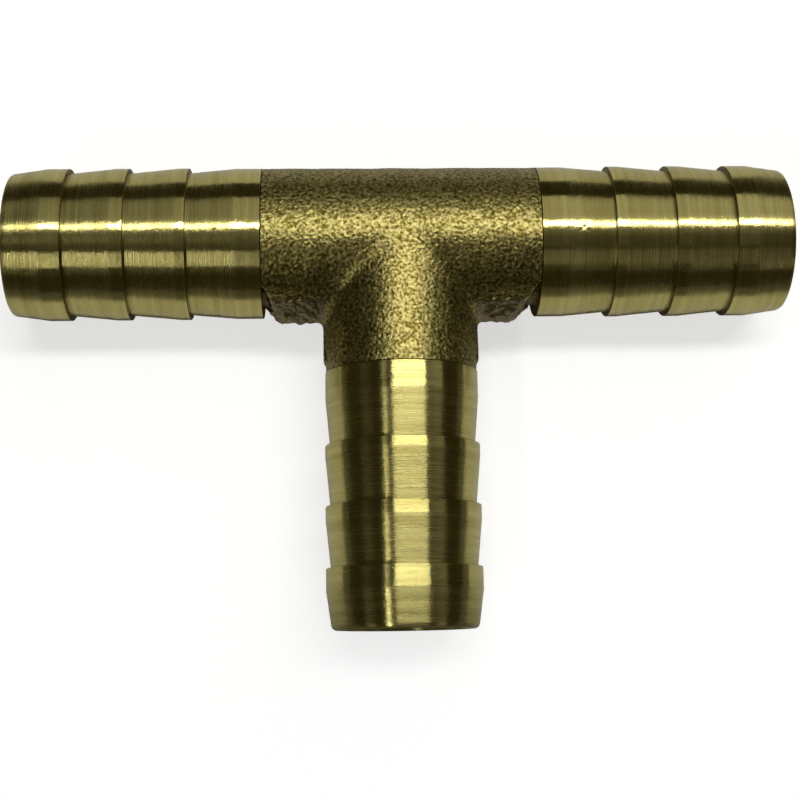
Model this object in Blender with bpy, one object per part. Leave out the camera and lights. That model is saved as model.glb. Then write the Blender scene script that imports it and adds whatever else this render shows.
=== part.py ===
"""Barbed hose tee: a forged tee body with three turned hose tails brazed into its sockets.

Lengths are in metres. The tee lies flat, as on a table: +X is along the run, -Y is the way the
branch points and +Z is up. The origin is on the table, under the middle of the bounding box.
"""

import math

import bmesh
import bpy
from mathutils import Matrix, Vector

MM = 0.001

BORE_DIAMETER = 9.0 * MM  # waterway, the same through body and tails

# Forged body
RUN_LENGTH = 22.8 * MM  # from end face to end face along the run
RUN_WALL = 0.95 * MM  # round the run's two sockets
BOSS_WALL = 0.9 * MM  # round the branch's socket
BOSS_REACH = 11.2 * MM  # from the run's axis to the branch's end face
RIM_CHAMFER = 0.25 * MM  # blunted by blasting, at each end face
CROTCH_RADIUS = 1.2 * MM  # where the branch blends into the run, widest at mid height

# Trimmed flash along the forging's parting plane
FLASH_THICKNESS = 1.6 * MM
FLASH_HEIGHT = 0.2 * MM  # how far it stands proud of the run and the boss
FLASH_SHIFT = 0.15 * MM  # the trimming die sat this far off, towards the branch
FLASH_END_GAP = 1.1 * MM  # it stops this far from each end face
FLASH_CORNER = 0.8 * MM  # round corner between run and branch
TRIM_LENGTH = 1.6 * MM  # the press tool's corner cut at the run's ends, along the run
TRIM_WIDTH = 0.9 * MM  # and across it

# Hose tails, all three alike
ROOT_WALL = 1.5 * MM  # at the thin end of each barb
BARB_HEIGHT = 0.4 * MM  # from root to crest
COLLAR_HEIGHT = 0.35 * MM  # from root to the plain land next to the body
COLLAR_PITCH = 6.1 * MM  # from the shoulder to the first barb
BARB_PITCH = 5.0 * MM
TIP_PITCH = 4.9 * MM  # the last barb, out to the end face
COLLAR_LAND = 2.2 * MM
BARB_LANDS = (0.8 * MM, 1.1 * MM, 1.8 * MM)  # from the body outwards
TIP_CHAMFER = 0.3 * MM
BORE_CHAMFER = 0.35 * MM

# Brazed joint
SPIGOT_WALL = 0.85 * MM
SPIGOT_LENGTH = 4.0 * MM
SPIGOT_CHAMFER = 0.3 * MM
BRAZE_GAP = 0.05 * MM  # capillary gap round the spigot and round the filler ring
SEAM_GAP = 0.12 * MM  # between a tail's shoulder and the body's end face
RING_WIDTH = 0.7 * MM
RING_GAP = 0.1 * MM  # at each side of the filler ring
RING_SETBACK = 0.1 * MM  # the ring's bore stands this far back from the waterway
MOUTH_CHAMFER = 0.15 * MM  # at each socket

SEGMENTS = 48
CORNER_STEPS = 4
CROTCH_LEVELS = 16
CROTCH_TOP = 0.96  # the blend dies out at this share of the body's radius
ROOTING = 0.05 * MM  # how deep an added shape starts inside the one it joins
OVERCUT = 1.0 * MM  # how far a cutter runs past the face it cuts

BORE_RADIUS = BORE_DIAMETER / 2
SPIGOT_RADIUS = BORE_RADIUS + SPIGOT_WALL
SOCKET_RADIUS = SPIGOT_RADIUS + BRAZE_GAP
SOCKET_DEPTH = SPIGOT_LENGTH - SEAM_GAP + RING_WIDTH + 2 * RING_GAP
RUN_HALF = RUN_LENGTH / 2
RUN_RADIUS = SOCKET_RADIUS + RUN_WALL
BOSS_RADIUS = SOCKET_RADIUS + BOSS_WALL
ROOT_RADIUS = BORE_RADIUS + ROOT_WALL
CREST_RADIUS = ROOT_RADIUS + BARB_HEIGHT
COLLAR_RADIUS = ROOT_RADIUS + COLLAR_HEIGHT
TAIL_LENGTH = COLLAR_PITCH + BARB_PITCH * (len(BARB_LANDS) - 1) + TIP_PITCH
BODY_REACH = max(RUN_RADIUS, BOSS_RADIUS)
BRANCH_END = BOSS_REACH + SEAM_GAP + TAIL_LENGTH
FRONT_FLASH = RUN_RADIUS + FLASH_HEIGHT + FLASH_SHIFT
BACK_FLASH = RUN_RADIUS + FLASH_HEIGHT - FLASH_SHIFT
BACK_EDGE = max(RUN_RADIUS, BACK_FLASH, CREST_RADIUS)
AXIS_HEIGHT = max(BODY_REACH, CREST_RADIUS)
CENTRE = Vector((0, (BRANCH_END - BACK_EDGE) / 2, AXIS_HEIGHT))  # where the two axes cross


def brass(name, colour, roughness):
    """A bare brass material."""
    material = bpy.data.materials.new(name)
    material.use_nodes = True
    shader = material.node_tree.nodes["Principled BSDF"]
    shader.inputs["Base Color"].default_value = (*colour, 1)
    shader.inputs["Metallic"].default_value = 1
    shader.inputs["Roughness"].default_value = roughness
    return material


def object_from(name, bm, material=None):
    """A linked object that holds the bmesh, with its faces pointing out and its round faces smooth."""
    bmesh.ops.remove_doubles(bm, verts=bm.verts, dist=1e-7)
    bmesh.ops.recalc_face_normals(bm, faces=bm.faces)
    mesh = bpy.data.meshes.new(name)
    bm.to_mesh(mesh)
    bm.free()
    mesh.shade_smooth()
    mesh.set_sharp_from_angle(angle=math.radians(25))
    if material:
        mesh.materials.append(material)
    obj = bpy.data.objects.new(name, mesh)
    bpy.context.scene.collection.objects.link(obj)
    return obj


def helper(obj):
    """Marks an object that only shapes another one."""
    obj.hide_render = True
    obj.display_type = "WIRE"
    return obj


def turned(profile, closed=True):
    """A bmesh turned about the local Z axis from (radius, height) points.

    A profile that isn't closed starts and ends on the axis.
    """
    bm = bmesh.new()
    corners = [bm.verts.new((radius, 0, height)) for radius, height in profile]
    ends = corners[1:] + corners[:1] if closed else corners[1:]
    edges = [bm.edges.new(pair) for pair in zip(corners, ends)]
    bmesh.ops.spin(
        bm,
        geom=corners + edges,
        cent=(0, 0, 0),
        axis=(0, 0, 1),
        angle=2 * math.pi,
        steps=SEGMENTS,
        use_merge=True,
    )
    return bm


def facing(direction):
    """The rotation that carries local +Z to a direction, keeping a facet corner uppermost."""
    upward = Vector((0, 0, 1))
    side = direction.cross(upward)
    return Matrix((upward, side, direction)).transposed().to_euler()


def place(obj, direction, offset=0.0):
    """Puts an object on one of the tee's axes, with its local Z along it, offset from the crossing."""
    direction = Vector(direction)
    obj.location = CENTRE + direction * offset
    obj.rotation_euler = facing(direction)
    return obj


def blank_profile(radius, low, high, low_chamfer, high_chamfer):
    """A plain round bar from low to high, chamfered at each end."""
    return [
        (0, low),
        (radius - low_chamfer, low),
        (radius, low + low_chamfer),
        (radius, high - high_chamfer),
        (radius - high_chamfer, high),
        (0, high),
    ]


def waterway_profile(end_face):
    """One limb of the waterway: from the crossing out through the socket and past the end face."""
    shoulder = end_face - SOCKET_DEPTH
    return [
        (0, 0),
        (BORE_RADIUS, 0),
        (BORE_RADIUS, shoulder),
        (SOCKET_RADIUS, shoulder),
        (SOCKET_RADIUS, end_face - MOUTH_CHAMFER),
        (SOCKET_RADIUS + MOUTH_CHAMFER + OVERCUT, end_face + OVERCUT),
        (0, end_face + OVERCUT),
    ]


def run_waterway_profile():
    """Both limbs of the run in one straight cutter."""
    limb = waterway_profile(RUN_HALF)[2:]
    return [(radius, -height) for radius, height in reversed(limb)] + limb


def tail_profile():
    """Half the section of a hose tail. Height 0 is its shoulder, and the spigot is below it."""
    crest, root, collar = CREST_RADIUS, ROOT_RADIUS, COLLAR_RADIUS
    outside = [(collar, 0), (collar, COLLAR_LAND), (root, COLLAR_PITCH)]
    foot = COLLAR_PITCH
    for land in BARB_LANDS:
        outside += [(crest, foot), (crest, foot + land)]
        foot += BARB_PITCH
        outside.append((root, min(foot, TAIL_LENGTH)))
    tip_root = outside.pop()[0]
    end = [
        (tip_root, TAIL_LENGTH - TIP_CHAMFER),
        (tip_root - TIP_CHAMFER, TAIL_LENGTH),
        (BORE_RADIUS + BORE_CHAMFER, TAIL_LENGTH),
        (BORE_RADIUS, TAIL_LENGTH - BORE_CHAMFER),
    ]
    spigot = [
        (BORE_RADIUS, -SPIGOT_LENGTH),
        (SPIGOT_RADIUS - SPIGOT_CHAMFER, -SPIGOT_LENGTH),
        (SPIGOT_RADIUS, -SPIGOT_LENGTH + SPIGOT_CHAMFER),
        (SPIGOT_RADIUS, 0),
    ]
    return outside + end + spigot


def ring_profile():
    """Half the section of a filler ring. Height 0 is its outer side, next to the spigot."""
    inner = BORE_RADIUS + RING_SETBACK
    outer = SPIGOT_RADIUS
    return [(inner, 0), (outer, 0), (outer, -RING_WIDTH), (inner, -RING_WIDTH)]


def flash_outline():
    """The parting line seen from above: a T with round inner corners, about the crossing."""
    beside = BOSS_RADIUS + FLASH_HEIGHT
    end, foot = RUN_HALF - FLASH_END_GAP, BOSS_REACH - FLASH_END_GAP
    quarter = [math.radians(90 * step / CORNER_STEPS) for step in range(CORNER_STEPS + 1)]
    corner = [
        (
            beside + FLASH_CORNER * (1 - math.sin(angle)),
            -FRONT_FLASH - FLASH_CORNER * (1 - math.cos(angle)),
        )
        for angle in quarter
    ]
    right = [(end, BACK_FLASH), (end, -FRONT_FLASH), *corner, (beside, -foot)]
    return right + [(-x, y) for x, y in reversed(right)]


def flash_plate():
    """The web of metal that was squeezed out between the dies, as thick as what the trim left."""
    bm = bmesh.new()
    low = [bm.verts.new((x, y, -FLASH_THICKNESS / 2)) for x, y in flash_outline()]
    face = bm.faces.new(low)
    lifted = bmesh.ops.extrude_face_region(bm, geom=[face])["geom"]
    moved = [part for part in lifted if isinstance(part, bmesh.types.BMVert)]
    bmesh.ops.translate(bm, vec=(0, 0, FLASH_THICKNESS), verts=moved)
    return bm


def trim_cutter(side):
    """A wedge that takes the corner off the run's end, on the branch's side."""
    reach = FRONT_FLASH
    edge = [
        (RUN_HALF - TRIM_LENGTH, -reach - OVERCUT),
        (RUN_HALF - TRIM_LENGTH, -reach),
        (RUN_HALF, -reach + TRIM_WIDTH),
        (RUN_HALF + OVERCUT, -reach + TRIM_WIDTH),
        (RUN_HALF + OVERCUT, -reach - OVERCUT),
    ]
    bm = bmesh.new()
    low = [bm.verts.new((side * x, y, -reach)) for x, y in edge]
    face = bm.faces.new(low)
    lifted = bmesh.ops.extrude_face_region(bm, geom=[face])["geom"]
    moved = [part for part in lifted if isinstance(part, bmesh.types.BMVert)]
    bmesh.ops.translate(bm, vec=(0, 0, 2 * reach), verts=moved)
    return bm


def crotch_section(side, level):
    """The blend between run and boss at one height: an arc that is rooted in both."""
    across = math.sqrt(RUN_RADIUS**2 - level**2)
    beside = math.sqrt(BOSS_RADIUS**2 - level**2)
    radius = CROTCH_RADIUS * across / RUN_RADIUS
    quarter = [math.radians(90 * step / CORNER_STEPS) for step in range(CORNER_STEPS + 1)]
    arc = [
        (
            beside + radius * (1 - math.sin(angle)) - ROOTING * math.cos(angle),
            -across - radius * (1 - math.cos(angle)) + ROOTING * math.sin(angle),
        )
        for angle in quarter
    ]
    root = [(0, -across - radius), (0, 0), (beside + radius, 0)]
    return [(side * x, y, level) for x, y in arc + root]


def crotch_blend(side):
    """The solid that rounds one inner corner between run and boss, as a stack of sections."""
    top = CROTCH_TOP * min(RUN_RADIUS, BOSS_RADIUS)
    turns = [math.pi * (step / CROTCH_LEVELS - 0.5) for step in range(CROTCH_LEVELS + 1)]
    bm = bmesh.new()
    sections = [
        [bm.verts.new(point) for point in crotch_section(side, top * math.sin(turn))]
        for turn in turns
    ]
    bm.faces.new(sections[0])
    bm.faces.new(sections[-1])
    for low, high in zip(sections, sections[1:]):
        corners = list(zip(low, high))
        for (a, b), (c, d) in zip(corners, corners[1:] + corners[:1]):
            bm.faces.new((a, c, d, b))
    return bm


def boolean(obj, other, operation):
    modifier = obj.modifiers.new(f"{operation.title()} {other.name}", "BOOLEAN")
    modifier.operation = operation
    modifier.object = other
    return modifier


def forged_outside(material):
    """The body's outer shape: the run and the boss, with their crotches blended."""
    run = blank_profile(RUN_RADIUS, -RUN_HALF, RUN_HALF, RIM_CHAMFER, RIM_CHAMFER)
    boss = blank_profile(BOSS_RADIUS, 0, BOSS_REACH, 0, RIM_CHAMFER)
    body = place(object_from("tee_body", turned(run, closed=False), material), (1, 0, 0))
    limb = place(helper(object_from("boss_blank", turned(boss, closed=False))), (0, -1, 0))
    boolean(body, limb, "UNION")
    for side, name in ((-1, "crotch_left"), (1, "crotch_right")):
        blend = helper(object_from(name, crotch_blend(side)))
        blend.location = CENTRE
        boolean(body, blend, "UNION")
    return body


def make_body(material):
    """The forged body, with its flash line, its trimmed corners and its machined waterway."""
    body = forged_outside(material)
    plate = helper(object_from("flash_plate", flash_plate()))
    plate.location = CENTRE
    boolean(body, plate, "UNION")
    for side, name in ((-1, "trim_left"), (1, "trim_right")):
        wedge = helper(object_from(name, trim_cutter(side)))
        wedge.location = CENTRE
        boolean(body, wedge, "DIFFERENCE")
    run_bar = turned(run_waterway_profile(), closed=False)
    branch_bar = turned(waterway_profile(BOSS_REACH), closed=False)
    run_cutter = object_from("run_waterway", run_bar)
    branch_cutter = object_from("branch_waterway", branch_bar)
    boolean(body, place(helper(run_cutter), (1, 0, 0)), "DIFFERENCE")
    boolean(body, place(helper(branch_cutter), (0, -1, 0)), "DIFFERENCE")
    return body


def make_tail(name, direction, end_face, material):
    """One hose tail, its spigot in the body's socket."""
    tail = object_from(name, turned(tail_profile()), material)
    return place(tail, direction, end_face + SEAM_GAP)


def make_ring(name, direction, end_face, material):
    """One ring of filler alloy, between the spigot's end and the socket's shoulder."""
    ring = object_from(name, turned(ring_profile()), material)
    return place(ring, direction, end_face + SEAM_GAP - SPIGOT_LENGTH - RING_GAP)


def main():
    for obj in list(bpy.data.objects):
        bpy.data.objects.remove(obj)
    forged = brass("forged_brass", (0.40, 0.33, 0.11), 0.55)
    turned = brass("turned_brass", (0.62, 0.55, 0.24), 0.25)
    filler = brass("braze_filler", (0.75, 0.66, 0.42), 0.35)
    make_body(forged)
    ends = {
        "left": ((-1, 0, 0), RUN_HALF),
        "right": ((1, 0, 0), RUN_HALF),
        "branch": ((0, -1, 0), BOSS_REACH),
    }
    for side, (direction, end_face) in ends.items():
        make_tail(f"{side}_tail", direction, end_face, turned)
        make_ring(f"{side}_braze_ring", direction, end_face, filler)


main()
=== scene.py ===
import math
import random

import bmesh
import bpy
from mathutils import Matrix, Vector, kdtree


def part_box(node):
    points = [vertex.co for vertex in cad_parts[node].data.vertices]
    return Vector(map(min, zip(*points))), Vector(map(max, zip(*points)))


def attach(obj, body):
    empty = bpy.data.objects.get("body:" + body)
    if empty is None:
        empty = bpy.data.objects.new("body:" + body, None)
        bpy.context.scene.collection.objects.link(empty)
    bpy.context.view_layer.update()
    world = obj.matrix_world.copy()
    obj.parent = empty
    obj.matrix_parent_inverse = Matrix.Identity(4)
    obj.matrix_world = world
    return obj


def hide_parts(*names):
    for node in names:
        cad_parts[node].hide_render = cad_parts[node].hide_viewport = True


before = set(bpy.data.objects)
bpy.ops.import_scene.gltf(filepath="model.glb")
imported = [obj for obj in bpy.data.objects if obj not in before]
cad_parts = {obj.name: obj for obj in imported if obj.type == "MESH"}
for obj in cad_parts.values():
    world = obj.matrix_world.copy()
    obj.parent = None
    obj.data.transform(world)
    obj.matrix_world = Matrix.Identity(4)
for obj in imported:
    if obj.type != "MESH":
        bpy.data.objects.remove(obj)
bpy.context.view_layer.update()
bpy.ops.object.select_all(action="DESELECT")  # the loaded pieces come in selected

mm = 0.001
axisX, axisY, axisZ = Vector((1, 0, 0)), Vector((0, 1, 0)), Vector((0, 0, 1))


def boxMiddle(node):
    low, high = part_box(node)
    return (Vector(low) + Vector(high)) / 2


runMiddle = boxMiddle("right_tail")
crossing = Vector((0, runMiddle.y, runMiddle.z))  # where the run's axis meets the branch's


camera = {
    "place": Vector((-5.192, -35.51, 127.555)) * mm,  # from the crossing
    "turn": (12.379, -2.098, -0.971),
    "lens": 69.893,
    "sensor": 36,
    "drop": -0.0875,
    "clipStart": 5 * mm,
}
floor = {
    "size": 12.0,
    "near": (0.86, 0.86, 0.84),
    # painted shadow: the floor's colour away from the tee, darker where the light on the table falls off
    "far": (0.16, 0.155, 0.145),
    "sideFade": (36 * mm, 53 * mm),  # left and right of the origin, where the light on the table falls off
    "frontFade": (11 * mm, 28 * mm),  # the same towards the branch's side
    "lift": (0.64, 0.93),  # near and far, how much brighter the camera sees the floor
    "roughness": 0.9,
    "specular": 0.1,
}
room = {
    "colour": (0.023, 0.020, 0.011),  # what the brass mirrors
    "backdrop": (0.94, 0.94, 0.93),  # what stands behind the floor
}

# Each lamp is a flat panel. Its edges are the degrees from straight up, seen from the tee, on X and on Y
lamps = {
    "tubeLamp": {"x": (-16, 34), "y": (9.8, 17.2), "height": 1.0, "radiance": 9.4, "turn": 2},
    "tubeHaze": {"x": (-16, 34), "y": (-4, 9.8), "height": 1.0, "radiance": 0.06, "turn": 2},
    "ceilingGlow": {"x": (-14, 62), "y": (19, 60), "height": 1.1, "radiance": 0.42, "turn": 0},
    "sidePane": {"x": (-30.3, -28.1), "y": (-50, -27), "height": 0.9, "radiance": 16.0, "turn": 0},
    "paneHead": {"x": (-30.3, -28.1), "y": (-13, -2), "height": 0.9, "radiance": 2.0, "turn": 0},
    "overhead": {"x": (-30, 30), "y": (-22, 8), "height": 1.2, "radiance": 0.05, "turn": 0},
    "cornerFarRight": {"x": (58, 70), "y": (54, 66), "height": 0.6, "radiance": 0.5, "turn": 0},
    "cornerFarLeft": {"x": (-70, -58), "y": (54, 66), "height": 0.6, "radiance": 0.5, "turn": 0},
    "cornerNearRight": {"x": (58, 70), "y": (-66, -54), "height": 0.6, "radiance": 0.5, "turn": 0},
    "cornerNearLeft": {"x": (-70, -58), "y": (-66, -54), "height": 0.6, "radiance": 0.5, "turn": 0},
}


def makeCamera():
    data = bpy.data.cameras.new("camera")
    data.lens = camera["lens"]
    data.sensor_width = camera["sensor"]
    data.shift_y = camera["drop"]
    data.clip_start = camera["clipStart"]
    holder = bpy.data.objects.new("camera", data)
    bpy.context.scene.collection.objects.link(holder)
    holder.location = crossing + camera["place"]
    holder.rotation_euler = [math.radians(angle) for angle in camera["turn"]]
    bpy.context.scene.camera = holder


def makeLamp(name, panel):
    left, right = [panel["height"] * math.tan(math.radians(angle)) for angle in panel["x"]]
    near, far = [panel["height"] * math.tan(math.radians(angle)) for angle in panel["y"]]
    data = bpy.data.lights.new(name, "AREA")
    data.shape = "RECTANGLE"
    data.size, data.size_y = right - left, far - near
    data.energy = panel["radiance"] * math.pi * data.size * data.size_y
    lamp = bpy.data.objects.new(name, data)
    bpy.context.scene.collection.objects.link(lamp)
    lamp.location = crossing + Vector(((left + right) / 2, (near + far) / 2, panel["height"]))
    lamp.rotation_euler.z = math.radians(panel["turn"])


def makeFloor():
    bpy.ops.mesh.primitive_plane_add(size=floor["size"], location=(0, 0, 0))
    sheet = bpy.context.object
    sheet.name = "floor"
    material = bpy.data.materials.new("paleFloor")
    material.use_nodes = True
    nodes, links = material.node_tree.nodes, material.node_tree.links
    shader = nodes["Principled BSDF"]
    shader.inputs["Roughness"].default_value = floor["roughness"]
    shader.inputs["Specular IOR Level"].default_value = floor["specular"]
    shader.inputs["Emission Color"].default_value = (1, 1, 1, 1)
    place = nodes.new("ShaderNodeTexCoord")
    split = nodes.new("ShaderNodeSeparateXYZ")
    links.new(place.outputs["Object"], split.inputs["Vector"])
    fades = []
    for letter, sign, (start, end) in (
        ("X", 1, floor["sideFade"]),
        ("X", -1, floor["sideFade"]),
        ("Y", -1, floor["frontFade"]),
    ):
        fade = nodes.new("ShaderNodeMapRange")
        fade.interpolation_type = "SMOOTHSTEP"
        fade.inputs["From Min"].default_value = sign * start
        fade.inputs["From Max"].default_value = sign * end
        links.new(split.outputs[letter], fade.inputs["Value"])
        fades.append(fade.outputs["Result"])
    most = fades[0]
    for other in fades[1:]:
        larger = nodes.new("ShaderNodeMath")
        larger.operation = "MAXIMUM"
        links.new(most, larger.inputs[0])
        links.new(other, larger.inputs[1])
        most = larger.outputs[0]
    # painted shadow on the floor, darker away from the tee
    tone = nodes.new("ShaderNodeMix")
    tone.data_type = "RGBA"
    tone.inputs["A"].default_value = (*floor["near"], 1)
    tone.inputs["B"].default_value = (*floor["far"], 1)
    links.new(most, tone.inputs["Factor"])
    links.new(tone.outputs["Result"], shader.inputs["Base Color"])
    path = nodes.new("ShaderNodeLightPath")
    lift = nodes.new("ShaderNodeMapRange")
    lift.inputs["To Min"].default_value = floor["lift"][0]
    lift.inputs["To Max"].default_value = floor["lift"][1]
    links.new(most, lift.inputs["Value"])
    seen = nodes.new("ShaderNodeMath")
    seen.operation = "MULTIPLY"
    links.new(path.outputs["Is Camera Ray"], seen.inputs[0])
    links.new(lift.outputs["Result"], seen.inputs[1])
    links.new(seen.outputs[0], shader.inputs["Emission Strength"])
    sheet.data.materials.append(material)


def makeRoom():
    world = bpy.data.worlds.new("room")
    world.use_nodes = True
    nodes, links = world.node_tree.nodes, world.node_tree.links
    path = nodes.new("ShaderNodeLightPath")
    tone = nodes.new("ShaderNodeMix")
    tone.data_type = "RGBA"
    tone.inputs["A"].default_value = (*room["colour"], 1)
    tone.inputs["B"].default_value = (*room["backdrop"], 1)
    links.new(path.outputs["Is Camera Ray"], tone.inputs["Factor"])
    links.new(tone.outputs["Result"], nodes["Background"].inputs["Color"])
    bpy.context.scene.world = world
    view = bpy.context.scene.view_settings
    view.view_transform, view.look = "Standard", "None"


makeCamera()
makeFloor()
makeRoom()
for lampName, lampPanel in lamps.items():
    makeLamp(lampName, lampPanel)
print("stage set")


def newMaterial(name, colour, roughness):
    material = bpy.data.materials.new(name)
    material.use_nodes = True
    shader = material.node_tree.nodes["Principled BSDF"]
    shader.inputs["Base Color"].default_value = (*colour, 1)
    shader.inputs["Metallic"].default_value = 1
    shader.inputs["Roughness"].default_value = roughness
    return material, material.node_tree.nodes, material.node_tree.links, shader


def scaledNoise(nodes, links, stretch, detail):
    place = nodes.new("ShaderNodeTexCoord")
    mapping = nodes.new("ShaderNodeMapping")
    mapping.inputs["Scale"].default_value = stretch
    noise = nodes.new("ShaderNodeTexNoise")
    noise.inputs["Scale"].default_value = 1.0
    noise.inputs["Detail"].default_value = detail
    links.new(place.outputs["Object"], mapping.inputs["Vector"])
    links.new(mapping.outputs["Vector"], noise.inputs["Vector"])
    return noise


def addBump(nodes, links, source, strength, depth, under=None):
    bump = nodes.new("ShaderNodeBump")
    bump.inputs["Strength"].default_value = strength
    bump.inputs["Distance"].default_value = depth
    links.new(source.outputs["Fac"], bump.inputs["Height"])
    if under:
        links.new(under, bump.inputs["Normal"])
    return bump.outputs["Normal"]


turnedBrass = {
    "colour": (0.74, 0.65, 0.235),
    "stained": (0.60, 0.51, 0.165),
    "land": 0.22,
    "cone": 0.275,
    "bore": 0.38,
    "anisotropy": 1.0,
    "quarterTurn": 0.25,  # the highlight stretches along the tail
    "rings": {"along": 9000, "around": 90, "depth": 0.004 * mm},
    "stains": {"coarser": 7, "span": (0.35, 0.62)},
    "wear": {"span": (0.3, 0.7), "change": (-0.05, 0.06)},
    "pits": {"grain": 6500, "depth": 0.003 * mm},
    "waves": {"grain": 1900, "depth": 0.007 * mm},
}


def makeTurned(name, along, roughness):
    material, nodes, links, shader = newMaterial(name, turnedBrass["colour"], roughness)
    shader.inputs["Anisotropic"].default_value = turnedBrass["anisotropy"]
    shader.inputs["Anisotropic Rotation"].default_value = turnedBrass["quarterTurn"]
    tangent = nodes.new("ShaderNodeTangent")
    tangent.direction_type = "RADIAL"
    tangent.axis = along
    links.new(tangent.outputs[0], shader.inputs["Tangent"])
    marks, stains, wear = turnedBrass["rings"], turnedBrass["stains"], turnedBrass["wear"]
    stretch = [marks["along"] if letter == along else marks["around"] for letter in "XYZ"]
    rings = scaledNoise(nodes, links, stretch, 3.0)
    broad = scaledNoise(nodes, links, [scale / stains["coarser"] for scale in stretch], 2.0)
    stain = nodes.new("ShaderNodeValToRGB")
    stain.color_ramp.elements[0].position = stains["span"][0]
    stain.color_ramp.elements[0].color = (*turnedBrass["stained"], 1)
    stain.color_ramp.elements[1].position = stains["span"][1]
    stain.color_ramp.elements[1].color = (*turnedBrass["colour"], 1)
    links.new(broad.outputs["Fac"], stain.inputs["Fac"])
    links.new(stain.outputs["Color"], shader.inputs["Base Color"])
    spread = nodes.new("ShaderNodeMapRange")
    spread.inputs["From Min"].default_value = wear["span"][0]
    spread.inputs["From Max"].default_value = wear["span"][1]
    spread.inputs["To Min"].default_value = roughness + wear["change"][0]
    spread.inputs["To Max"].default_value = roughness + wear["change"][1]
    links.new(rings.outputs["Fac"], spread.inputs["Value"])
    links.new(spread.outputs["Result"], shader.inputs["Roughness"])
    pits = scaledNoise(nodes, links, [turnedBrass["pits"]["grain"]] * 3, 2.0)
    waves = scaledNoise(nodes, links, [turnedBrass["waves"]["grain"]] * 3, 1.0)
    normal = addBump(nodes, links, rings, 1.0, marks["depth"])
    normal = addBump(nodes, links, pits, 1.0, turnedBrass["pits"]["depth"], normal)
    normal = addBump(nodes, links, waves, 1.0, turnedBrass["waves"]["depth"], normal)
    links.new(normal, shader.inputs["Normal"])
    return material


blastedFinish = {
    "bright": (0.585, 0.497, 0.177),
    "dull": (0.13, 0.099, 0.012),
    "span": (0.37, 0.64),  # of the grain's noise, from dull to bright
    "roughness": 0.37,
    "grain": 3900,
    "bump": 0.066 * mm,
}
trimmedFinish = {
    "bright": (0.40, 0.33, 0.19),
    "dull": (0.20, 0.16, 0.085),
    "span": (0.36, 0.62),
    "roughness": 0.42,
    "grain": 4200,
    "bump": 0.02 * mm,
}
# The shoulder faces are painted dark: painted shade in the step of each barb
shoulderShadeFinish = {
    "bright": (0.26, 0.20, 0.06),
    "dull": (0.07, 0.05, 0.014),
    "span": (0.36, 0.62),
    "roughness": 0.45,
    "grain": 3000,
    "bump": 0.02 * mm,
}
grainStrength = 0.8
fillerFinish = {
    "colour": (0.78, 0.70, 0.46),
    "roughness": 0.3,
    "grain": 1400,
    "bump": 0.05 * mm,
    "strength": 0.4,
}


def makeGrained(name, finish):
    material, nodes, links, shader = newMaterial(name, finish["bright"], finish["roughness"])
    grain = scaledNoise(nodes, links, [finish["grain"]] * 3, 3.0)
    tone = nodes.new("ShaderNodeValToRGB")
    tone.color_ramp.elements[0].position = finish["span"][0]
    tone.color_ramp.elements[0].color = (*finish["dull"], 1)
    tone.color_ramp.elements[1].position = finish["span"][1]
    tone.color_ramp.elements[1].color = (*finish["bright"], 1)
    links.new(grain.outputs["Fac"], tone.inputs["Fac"])
    links.new(tone.outputs["Color"], shader.inputs["Base Color"])
    normal = addBump(nodes, links, grain, grainStrength, finish["bump"])
    links.new(normal, shader.inputs["Normal"])
    return material


def makeFiller():
    finish = fillerFinish
    material, nodes, links, shader = newMaterial("brazeFiller", finish["colour"], finish["roughness"])
    flow = scaledNoise(nodes, links, [finish["grain"]] * 3, 3.0)
    normal = addBump(nodes, links, flow, finish["strength"], finish["bump"])
    links.new(normal, shader.inputs["Normal"])
    return material


shoulderShadeBrass = makeGrained("shoulderShadeBrass", shoulderShadeFinish)
landSlot, coneSlot, shoulderShadeSlot, boreSlot = range(4)
turnedSets = {
    axis: [
        makeTurned("turnedLand" + axis, axis, turnedBrass["land"]),
        makeTurned("turnedCone" + axis, axis, turnedBrass["cone"]),
        shoulderShadeBrass,
        makeTurned("turnedBore" + axis, axis, turnedBrass["bore"]),
    ]
    for axis in "XY"
}
blasted = makeGrained("blastedBrass", blastedFinish)
trimmed = makeGrained("trimmedBrass", trimmedFinish)
filler = makeFiller()
print("brass mixed")


tail = {
    "shoulder": 11.52 * mm,  # from the crossing, where the tail leaves the body
    "boreRadius": 4.5 * mm,
    "spigotRadius": 5.35 * mm,
    "spigotLength": 4.0 * mm,
    "spigotChamfer": 0.3 * mm,
    "collarRadius": 6.35 * mm,
    "crestRadius": 6.4 * mm,
    "rootRadius": 6.0 * mm,
    "collarPitch": 6.1 * mm,
    "barbPitch": 5.0 * mm,
    "length": 21.0 * mm,
    "collarLand": 2.2 * mm,
    "barbLands": (0.8 * mm, 1.1 * mm, 1.8 * mm),
    "edgeBreak": 0.03 * mm,
    "tipChamfer": 0.3 * mm,
    "tipRound": 0.35,  # the share of the chamfer where its extra corner lies
    "boreChamfer": 0.35 * mm,
    "feed": 0.1 * mm,  # from one turning mark to the next
    "landMarks": 0.0012 * mm,
    "coneMarks": 0.0030 * mm,
    "carry": 0.6,  # how much of one mark's depth the next one keeps
    "seed": 7,
    "around": 280,
    "weld": 0.0005 * mm,
    "tipZone": 0.6 * mm,  # no shoulder lies this near the tip
    "inward": -0.5,  # faces that look towards the axis more than this are the bore's
    "steep": 0.6,  # faces that look more along the tail than this are shoulders
    "creaseAngle": 24,
}


def passOver(points, rng, start, end, marks):
    steps = max(1, round((end[1] - start[1]) / tail["feed"]))
    drift = 0.0
    for step in range(1, steps):
        part = step / steps
        drift = tail["carry"] * drift + rng.uniform(-marks, marks)
        radius = start[0] + (end[0] - start[0]) * part + drift
        points.append((radius, start[1] + (end[1] - start[1]) * part))
    points.append(end)


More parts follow.
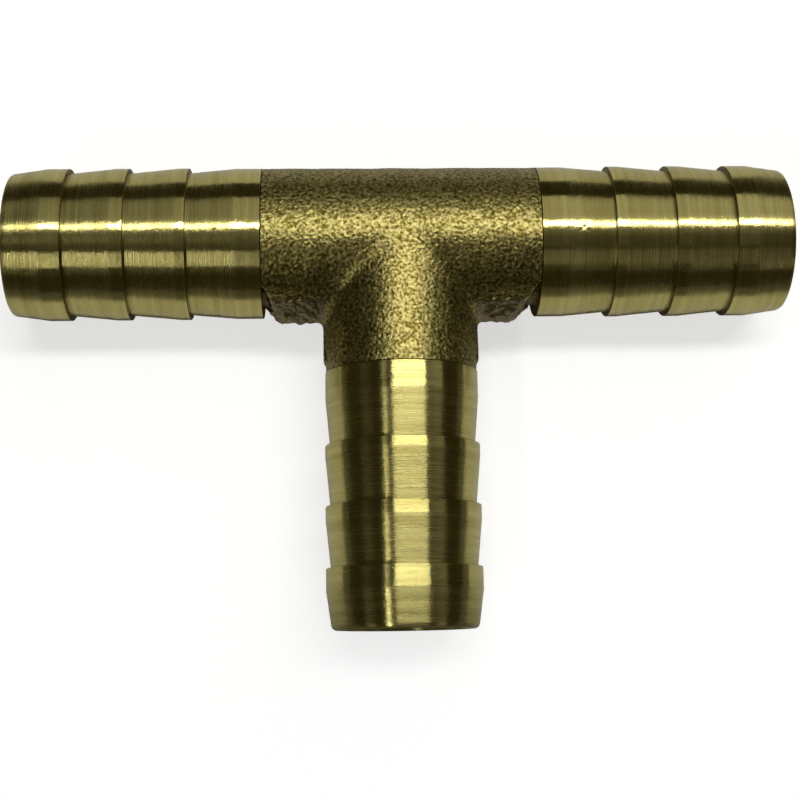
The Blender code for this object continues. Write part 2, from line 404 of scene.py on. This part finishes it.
def tailOutline():
    rng = random.Random(tail["seed"])
    blunt = tail["edgeBreak"]
    bore, spigot = tail["boreRadius"], tail["spigotRadius"]
    collar, crest, root = tail["collarRadius"], tail["crestRadius"], tail["rootRadius"]
    points = [
        (bore, -tail["spigotLength"]),
        (spigot - tail["spigotChamfer"], -tail["spigotLength"]),
        (spigot, tail["spigotChamfer"] - tail["spigotLength"]),
        (spigot, 0.0),
        (collar - blunt, 0.0),
        (collar, blunt),
    ]
    passOver(points, rng, points[-1], (collar, tail["collarLand"]), tail["landMarks"])
    foot = tail["collarPitch"]
    passOver(points, rng, points[-1], (root, foot), tail["coneMarks"])
    for index, land in enumerate(tail["barbLands"]):
        points += [(crest - blunt, foot), (crest, foot + blunt)]
        passOver(points, rng, points[-1], (crest, foot + land), tail["landMarks"])
        last = index == len(tail["barbLands"]) - 1
        foot = tail["length"] - tail["tipChamfer"] if last else foot + tail["barbPitch"]
        passOver(points, rng, points[-1], (root, foot), tail["coneMarks"])
    tipStep = tail["tipChamfer"] * tail["tipRound"]
    points += [
        (root - tipStep, tail["length"] - tipStep),
        (root - tail["tipChamfer"], tail["length"]),
        (bore + tail["boreChamfer"], tail["length"]),
        (bore, tail["length"] - tail["boreChamfer"]),
    ]
    return points


def choose(piece):
    bpy.ops.object.select_all(action="DESELECT")
    piece.select_set(True)
    bpy.context.view_layer.objects.active = piece


def openEdit(piece):
    choose(piece)
    bpy.ops.object.mode_set(mode="EDIT")


def closeEdit():
    bpy.ops.object.mode_set(mode="OBJECT")


def turnTail(name):
    start = tail["shoulder"]
    outline = [crossing + Vector((start + height, 0, radius)) for radius, height in tailOutline()]
    bpy.ops.mesh.primitive_plane_add(size=mm, location=outline[0])
    piece = bpy.context.object
    piece.name = piece.data.name = name
    bpy.ops.object.transform_apply(location=True, rotation=True, scale=True)
    openEdit(piece)
    bpy.ops.mesh.select_all(action="SELECT")
    bpy.ops.mesh.merge(type="CENTER")
    for here, there in zip(outline, outline[1:] + outline[:1]):
        bpy.ops.mesh.extrude_vertices_move(TRANSFORM_OT_translate={"value": there - here})
    bpy.ops.mesh.select_all(action="SELECT")
    bpy.ops.mesh.remove_doubles(threshold=tail["weld"])
    bpy.ops.mesh.spin(
        steps=tail["around"], angle=2 * math.pi, center=crossing, axis=axisX, use_auto_merge=True
    )
    bpy.ops.mesh.select_all(action="SELECT")
    bpy.ops.mesh.remove_doubles(threshold=tail["weld"])
    bpy.ops.mesh.normals_make_consistent(inside=False)
    closeEdit()
    return piece


def alongAxis(place, direction):
    offset = place - crossing
    along = offset.dot(direction)
    return along, (offset - direction * along).length


def finishTail(piece):
    lands, foot = [(0, tail["collarLand"])], tail["collarPitch"]
    for land in tail["barbLands"]:
        lands.append((foot, foot + land))
        foot += tail["barbPitch"]
    for face in piece.data.polygons:
        along, _ = alongAxis(face.center, axisX)
        height = along - tail["shoulder"]
        outward = (face.center - crossing - axisX * along).normalized().dot(face.normal)
        onLand = any(low <= height <= high for low, high in lands)
        steep = abs(face.normal.x) > tail["steep"]
        if outward < tail["inward"]:
            face.material_index = boreSlot
        elif height < tail["length"] - tail["tipZone"] and (steep or height < 0):
            # shoulder faces take the dark finish, painted shade at the steps
            face.material_index = shoulderShadeSlot
        else:
            face.material_index = landSlot if onLand else coneSlot
    choose(piece)
    bpy.ops.object.shade_smooth_by_angle(angle=math.radians(tail["creaseAngle"]))


def turnedCopy(original, name, quarters, shift):
    choose(original)
    bpy.ops.object.duplicate()
    piece = bpy.context.object
    piece.name = piece.data.name = name
    turn = Matrix.Rotation(math.radians(90 * quarters), 4, "Z")
    piece.matrix_world = Matrix.Translation(crossing + shift) @ turn @ Matrix.Translation(-crossing)
    bpy.ops.object.transform_apply(location=True, rotation=True, scale=True)
    return piece


# Lengths in mm
nicks = {
    "edge": {"count": 14, "reach": (0.10, 0.22), "depth": (0.015, 0.04)},
    "skin": {"count": 8, "reach": (0.10, 0.14), "depth": (0.005, 0.010)},
    "scratch": {"reach": 0.11, "depth": 0.012, "step": 0.10, "radius": 6.2},
    "pastEdge": 0.06,
    "skinStart": 0.5,
}


def press(meshNow, finder, place, inward, reach):
    for vertex in meshNow.verts:
        vertex.select = False
    _, nearest, _ = finder.find(place)
    meshNow.verts[nearest].select = True
    meshNow.select_flush_mode()
    bpy.ops.transform.translate(
        value=inward, use_proportional_edit=True, proportional_edit_falloff="SMOOTH", proportional_size=reach
    )


def nickTail(piece, direction, seed, scratches):
    rng = random.Random(seed)
    side = direction.cross(axisZ)
    crests, foot = [], tail["collarPitch"]
    for _ in tail["barbLands"]:
        crests.append(foot + nicks["pastEdge"] * mm)
        foot += tail["barbPitch"]

    def spot(height, angle):
        outward = axisZ * math.cos(angle) + side * math.sin(angle)
        along = direction * (tail["shoulder"] + height)
        return crossing + along + outward * tail["crestRadius"], outward

    marks = []
    for kind in ("edge", "skin"):
        nick = nicks[kind]
        for _ in range(nick["count"]):
            if kind == "edge":
                height = rng.choice(crests)
            else:
                height = rng.uniform(nicks["skinStart"] * mm, tail["length"])
            place, outward = spot(height, rng.uniform(0, 2 * math.pi))
            reach, depth = rng.uniform(*nick["reach"]) * mm, rng.uniform(*nick["depth"]) * mm
            marks.append((place, outward, reach, depth))
    scratch = nicks["scratch"]
    for (startHeight, startAngle), (endHeight, endAngle) in scratches:
        around = math.radians(endAngle - startAngle) * scratch["radius"]
        length = math.hypot(endHeight - startHeight, around)
        steps = max(2, round(length / scratch["step"]))
        for step in range(steps + 1):
            part = step / steps
            height = startHeight + (endHeight - startHeight) * part
            angle = startAngle + (endAngle - startAngle) * part
            place, outward = spot(height * mm, math.radians(angle))
            marks.append((place, outward, scratch["reach"] * mm, scratch["depth"] * mm))
    openEdit(piece)
    meshNow = bmesh.from_edit_mesh(piece.data)
    finder = kdtree.KDTree(len(meshNow.verts))
    for vertex in meshNow.verts:
        finder.insert(vertex.co, vertex.index)
    finder.balance()
    meshNow.verts.ensure_lookup_table()
    for place, outward, reach, depth in marks:
        press(meshNow, finder, place, -outward * depth, reach)
    closeEdit()


# A scratch's two ends: mm past the shoulder, and degrees round the tail from straight up
tailPlaces = {
    "rightTail": {
        "node": "right_tail",
        "direction": axisX,
        "quarters": 0,
        "nearer": 0.0,
        "seed": 3,
        "grain": "X",
        "scratches": (((3.0, 7), (3.9, 1)), ((3.1, 2), (3.8, 7)), ((2.9, 17), (3.9, 18))),
    },
    "leftTail": {
        "node": "left_tail",
        "direction": -axisX,
        "quarters": 2,
        "nearer": 0.0,
        "seed": 11,
        "grain": "X",
        "scratches": (((3.6, -4), (3.9, -11)), ((2.3, -15), (2.6, -20))),
    },
    "branchTail": {
        "node": "branch_tail",
        "direction": -axisY,
        "quarters": -1,
        "nearer": 0.2 * mm,  # its shoulder lies nearer the crossing than the run's
        "seed": 23,
        "grain": "Y",
        "scratches": (((19.2, -6), (20.2, -2)),),
    },
}

firstTail = turnTail("rightTail")
finishTail(firstTail)
tails = {}
for tailName, where in tailPlaces.items():
    if where["quarters"] == 0:
        tails[tailName] = firstTail
    else:
        inward = where["direction"] * -where["nearer"]
        tails[tailName] = turnedCopy(firstTail, tailName, where["quarters"], inward)
for tailName, where in tailPlaces.items():
    for material in turnedSets[where["grain"]]:
        tails[tailName].data.materials.append(material)
    nickTail(tails[tailName], where["direction"], where["seed"], where["scratches"])
print("tails turned", len(firstTail.data.polygons), "faces each")


body = {
    "runHalf": 11.46 * mm,
    "runRadius": 6.33 * mm,
    "bossReach": 11.26 * mm,
    "bossRadius": 6.28 * mm,
    "flash": {"thick": 1.7 * mm, "back": 6.38 * mm, "side": 6.48 * mm, "endGap": 0.8 * mm},
    "trim": {"height": 3.0 * mm, "inner": 5.72 * mm, "outer": 6.74 * mm, "start": 3.6 * mm},
    "spare": 0.6 * mm,  # forged longer by this at each end, then faced to length
    "rightCorner": {"long": 2.0 * mm, "wide": 2.3 * mm},
    "leftCorner": {"long": 1.3 * mm, "wide": 2.0 * mm},
    "wedge": {"outside": 1.0 * mm, "halfHeight": 6.5 * mm},
    "voxel": 0.13 * mm,
    "softness": 0.5,
    "smoothing": 6,
    "swell": {"size": 2.6 * mm, "height": 0.10 * mm, "depth": 1},
    "grain": {"size": 0.19 * mm, "height": 0.07 * mm, "depth": 1},
    "crotch": {"reach": 1.5 * mm, "smoothing": 160, "widest": 2.5},
    "torn": {"size": 0.6 * mm, "height": 0.5 * mm, "depth": 2},
    "tornBand": {"aside": 0.6 * mm, "height": 3.4 * mm, "proud": 0.03 * mm, "cut": 0.1 * mm, "weak": 0.25},
    "trimmedBand": {"below": 0.2 * mm, "proud": 0.02 * mm, "cut": 0.09 * mm, "cutFrom": 8.8 * mm},
    "socketRadius": 5.4 * mm,
    "socketDepth": 4.84 * mm,
    "socketMargin": 0.02 * mm,
    "boreRadius": 4.5 * mm,
    "branchBoreRadius": 4.49 * mm,
    "facingRadius": 9.0 * mm,
    "cutsPast": {"bore": 3.0 * mm, "socket": 2.5 * mm, "facing": 2.0 * mm},
    "cutSides": 64,
    "sliver": 0.002 * mm,
    "creaseAngle": 60,
}


def addBar(name, radius, start, end, sides=96):
    lengthwise = end - start
    bpy.ops.object.select_all(action="DESELECT")
    bpy.ops.mesh.primitive_cylinder_add(
        vertices=sides,
        radius=radius,
        depth=lengthwise.length,
        location=(start + end) / 2,
        rotation=lengthwise.to_track_quat("Z", "Y").to_euler(),
    )
    bar = bpy.context.object
    bar.name = name
    bpy.ops.object.transform_apply(location=True, rotation=True, scale=True)
    return bar


def addBlock(name, low, high):
    bpy.ops.object.select_all(action="DESELECT")
    bpy.ops.mesh.primitive_cube_add(size=1, location=crossing + (Vector(low) + Vector(high)) / 2)
    block = bpy.context.object
    block.name = name
    block.scale = Vector(high) - Vector(low)
    bpy.ops.object.transform_apply(location=True, rotation=True, scale=True)
    return block


def addPrism(name, corners, lengthwise):
    bpy.ops.object.select_all(action="DESELECT")
    bpy.ops.mesh.primitive_circle_add(vertices=len(corners), radius=mm, fill_type="NGON", location=(0, 0, 0))
    prism = bpy.context.object
    prism.name = name
    for vertex, corner in zip(prism.data.vertices, corners):
        vertex.co = crossing + Vector(corner)
    openEdit(prism)
    bpy.ops.mesh.select_all(action="SELECT")
    bpy.ops.mesh.extrude_region_move(TRANSFORM_OT_translate={"value": lengthwise})
    bpy.ops.mesh.select_all(action="SELECT")
    bpy.ops.mesh.normals_make_consistent(inside=False)
    closeEdit()
    return prism


def applyAll(piece):
    choose(piece)
    for modifier in list(piece.modifiers):
        bpy.ops.object.modifier_apply(modifier=modifier.name)


def combine(piece, tool, how):
    step = piece.modifiers.new(how, "BOOLEAN")
    step.operation, step.solver, step.object = how, "EXACT", tool
    applyAll(piece)
    bpy.data.objects.remove(tool)


def cornerWedge(side, corner):
    edge = -body["trim"]["outer"]
    outside, halfHeight = edge - body["wedge"]["outside"], body["wedge"]["halfHeight"]
    end = body["runHalf"]
    outline = [
        (end - corner["long"], outside),
        (end - corner["long"], edge),
        (end, edge + corner["wide"]),
        (end + body["spare"], edge + corner["wide"]),
        (end + body["spare"], outside),
    ]
    return addPrism("wedge", [(side * x, y, -halfHeight) for x, y in outline], (0, 0, 2 * halfHeight))


def waterways():
    # The three cuts of one end stop at different lengths, so that no two of their faces lie together
    past, sides = body["cutsPast"], body["cutSides"]
    boreEnd = body["runHalf"] + past["bore"]
    left, right, front = crossing - axisX * boreEnd, crossing + axisX * boreEnd, crossing - axisY * boreEnd
    cutter = addBar("waterways", body["boreRadius"], left, right, sides)
    combine(cutter, addBar("bore", body["branchBoreRadius"], crossing, front, sides), "UNION")
    for direction, end in ((axisX, body["runHalf"]), (-axisX, body["runHalf"]), (-axisY, body["bossReach"])):
        shoulder, face = crossing + direction * (end - body["socketDepth"]), crossing + direction * end
        socketEnd, facingEnd = [crossing + direction * (end + past[cut]) for cut in ("socket", "facing")]
        combine(cutter, addBar("socket", body["socketRadius"], shoulder, socketEnd, sides), "UNION")
        combine(cutter, addBar("facing", body["facingRadius"], face, facingEnd, sides), "UNION")
    return cutter


def push(piece, name, group=""):
    texture = bpy.data.textures.new(name, "CLOUDS")
    texture.noise_scale = body[name]["size"]
    texture.noise_depth = body[name]["depth"]
    step = piece.modifiers.new(name, "DISPLACE")
    step.texture, step.strength, step.mid_level = texture, body[name]["height"], 0.5
    step.vertex_group = group
    applyAll(piece)


def soften(piece, rounds, group=""):
    step = piece.modifiers.new("soften", "SMOOTH")
    step.factor, step.iterations, step.vertex_group = body["softness"], rounds, group
    applyAll(piece)


def clearSlivers(piece):
    openEdit(piece)
    bpy.ops.mesh.select_all(action="SELECT")
    bpy.ops.mesh.remove_doubles(threshold=body["sliver"])
    bpy.ops.mesh.quads_convert_to_tris(quad_method="BEAUTY", ngon_method="BEAUTY")
    bpy.ops.mesh.select_all(action="DESELECT")
    bpy.ops.mesh.select_mode(type="EDGE")
    bpy.ops.mesh.select_non_manifold(
        use_wire=False, use_boundary=True, use_multi_face=False, use_non_contiguous=False, use_verts=False
    )
    bpy.ops.mesh.delete(type="EDGE")  # a stray face that hangs on by one side
    bpy.ops.mesh.select_mode(type="VERT")
    bpy.ops.mesh.select_all(action="SELECT")
    bpy.ops.mesh.delete_loose()
    bpy.ops.mesh.normals_make_consistent(inside=False)
    closeEdit()


def forgeBlank():
    flash, trim = body["flash"], body["trim"]
    runHalf, bossReach = body["runHalf"] + body["spare"], body["bossReach"] + body["spare"]
    piece = addBar("teeBody", body["runRadius"], crossing - axisX * runHalf, crossing + axisX * runHalf)
    combine(piece, addBar("boss", body["bossRadius"], crossing, crossing - axisY * bossReach), "UNION")
    runEnd, bossEnd = body["runHalf"] - flash["endGap"], body["bossReach"] - flash["endGap"]
    half = flash["thick"] / 2
    combine(piece, addBlock("web", (-runEnd, 0, -half), (runEnd, flash["back"], half)), "UNION")
    combine(piece, addBlock("web", (-flash["side"], -bossEnd, -half), (flash["side"], 0, half)), "UNION")
    outline = [
        (-runEnd, -trim["inner"], trim["height"]),
        (-runEnd, -trim["outer"], half),
        (-runEnd, -trim["outer"], -half),
        (-runEnd, -trim["inner"], -trim["height"]),
    ]
    combine(piece, addPrism("trimmedWeb", outline, (2 * runEnd, 0, 0)), "UNION")
    combine(piece, cornerWedge(1, body["rightCorner"]), "DIFFERENCE")
    combine(piece, cornerWedge(-1, body["leftCorner"]), "DIFFERENCE")
    remesh = piece.modifiers.new("even", "REMESH")
    remesh.mode, remesh.voxel_size = "VOXEL", body["voxel"]
    applyAll(piece)
    soften(piece, body["smoothing"])
    return piece


def markGroups(piece):
    reach, band = body["crotch"]["reach"], body["tornBand"]
    crotch = piece.vertex_groups.new(name="crotch")
    torn = piece.vertex_groups.new(name="torn")
    for vertex in piece.data.vertices:
        offset = vertex.co - crossing
        onRun, onBoss = [alongAxis(vertex.co, direction)[1] for direction in (axisX, axisY)]
        apart = math.hypot(onRun - body["runRadius"], onBoss - body["bossRadius"])
        if offset.y < 0 and apart < body["crotch"]["widest"] * reach:
            crotch.add([vertex.index], math.exp(-((apart / reach) ** 2)), "REPLACE")
        aside = abs(offset.x) > body["bossRadius"] + band["aside"]
        if offset.y < -body["trim"]["start"] and aside and abs(offset.z) < band["height"]:
            proud = onRun > body["runRadius"] + band["proud"]
            cut = onRun < body["runRadius"] - band["cut"]
            torn.add([vertex.index], 1.0 if proud or cut else band["weak"], "REPLACE")


def paintBody(piece):
    trim, band = body["trim"], body["trimmedBand"]
    blastedSlot, waterwaySlot, trimmedSlot = range(3)
    for material in (blasted, turnedSets["X"][boreSlot], trimmed):
        piece.data.materials.append(material)
    for face in piece.data.polygons:
        offset = face.center - crossing
        onRun, onBoss = [alongAxis(face.center, direction)[1] for direction in (axisX, axisY)]
        limb = onRun if abs(offset.x) > abs(offset.y) or offset.y > 0 else onBoss
        inFront = -trim["outer"] - band["below"] < offset.y < -trim["start"]
        proud = onRun > body["runRadius"] + band["proud"] and abs(offset.x) > body["bossRadius"]
        cut = onRun < body["runRadius"] - band["cut"] and abs(offset.x) > band["cutFrom"]
        if limb < body["socketRadius"] + body["socketMargin"]:
            face.material_index = waterwaySlot
        elif inFront and abs(offset.z) < trim["height"] and (proud or cut):
            face.material_index = trimmedSlot
        else:
            face.material_index = blastedSlot


def forgeBody():
    piece = forgeBlank()
    markGroups(piece)
    soften(piece, body["crotch"]["smoothing"], "crotch")
    push(piece, "torn", "torn")
    push(piece, "swell")
    push(piece, "grain")
    combine(piece, waterways(), "DIFFERENCE")
    clearSlivers(piece)
    bpy.ops.object.shade_smooth_by_angle(angle=math.radians(body["creaseAngle"]))
    paintBody(piece)
    return piece


teeBody = forgeBody()
print("body forged", len(teeBody.data.polygons), "faces")


for ringName in ("left_braze_ring", "right_braze_ring", "branch_braze_ring"):
    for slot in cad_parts[ringName].material_slots:
        slot.material = filler

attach(teeBody, "root")
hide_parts("tee_body")
for tailName, where in tailPlaces.items():
    piece = tails[tailName]
    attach(piece, "root")
    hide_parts(where["node"])
